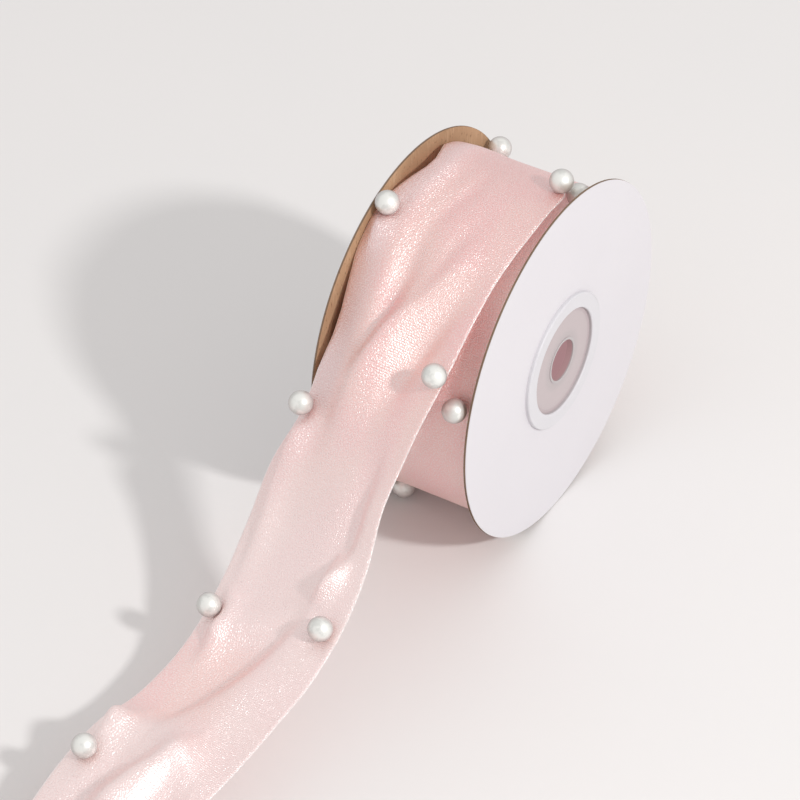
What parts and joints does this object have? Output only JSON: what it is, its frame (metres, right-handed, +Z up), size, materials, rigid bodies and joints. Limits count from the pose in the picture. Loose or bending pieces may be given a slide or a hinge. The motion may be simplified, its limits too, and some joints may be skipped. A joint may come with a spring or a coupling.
{
  "type": "ribbon spool",
  "caption": "Flanged spool of sheer ribbon with pearls glued along both edges; the free end pays off the top and trails forward.",
  "frame": {"origin": "centre of the arbor bore, midway between the two flanges", "axes": "+X along the bore towards the right flange as seen from the free end, +Z up, -Y forward along the trailing free end"},
  "size_m": [0.0466, 0.2726, 0.0936],
  "materials": {
    "kraft_board": "matte",
    "white_facing": "satin",
    "hub_plastic": "gloss",
    "core_plastic": "matte",
    "clear_tape": "satin",
    "satin_ribbon": "satin",
    "pearl": "gloss"
  },
  "bodies": {
    "free_end": {"inner_turn": "satin_ribbon", "outer_turn": "satin_ribbon", "ribbon_tail": "satin_ribbon", "pearl_inner_right_1": "pearl", "pearl_inner_right_2": "pearl", "pearl_inner_right_3": "pearl", "pearl_inner_right_4": "pearl", "pearl_inner_left_1": "pearl", "pearl_inner_left_2": "pearl", "pearl_inner_left_3": "pearl", "pearl_outer_right_1": "pearl", "pearl_outer_left_1": "pearl", "pearl_outer_right_2": "pearl", "pearl_outer_left_2": "pearl", "pearl_tail_right_1": "pearl", "pearl_tail_right_2": "pearl", "pearl_tail_right_3": "pearl", "pearl_tail_right_4": "pearl", "pearl_tail_left_1": "pearl", "pearl_tail_left_2": "pearl", "pearl_tail_left_3": "pearl", "pearl_tail_left_4": "pearl"},
    "reel": {"right_flange_board": "kraft_board", "right_flange_facing": "white_facing", "left_flange_board": "kraft_board", "left_flange_facing": "white_facing", "right_hub": "hub_plastic", "left_hub": "hub_plastic", "core_tube": "core_plastic", "ribbon_start_tape": "clear_tape", "ribbon_pack": "satin_ribbon"}
  },
  "joints": [
    {"name": "reel_turn", "type": "hinge", "parent": "free_end", "child": "reel", "pos_m": [0, 0, 0], "axis": [1, 0, 0], "continuous": true}
  ]
}
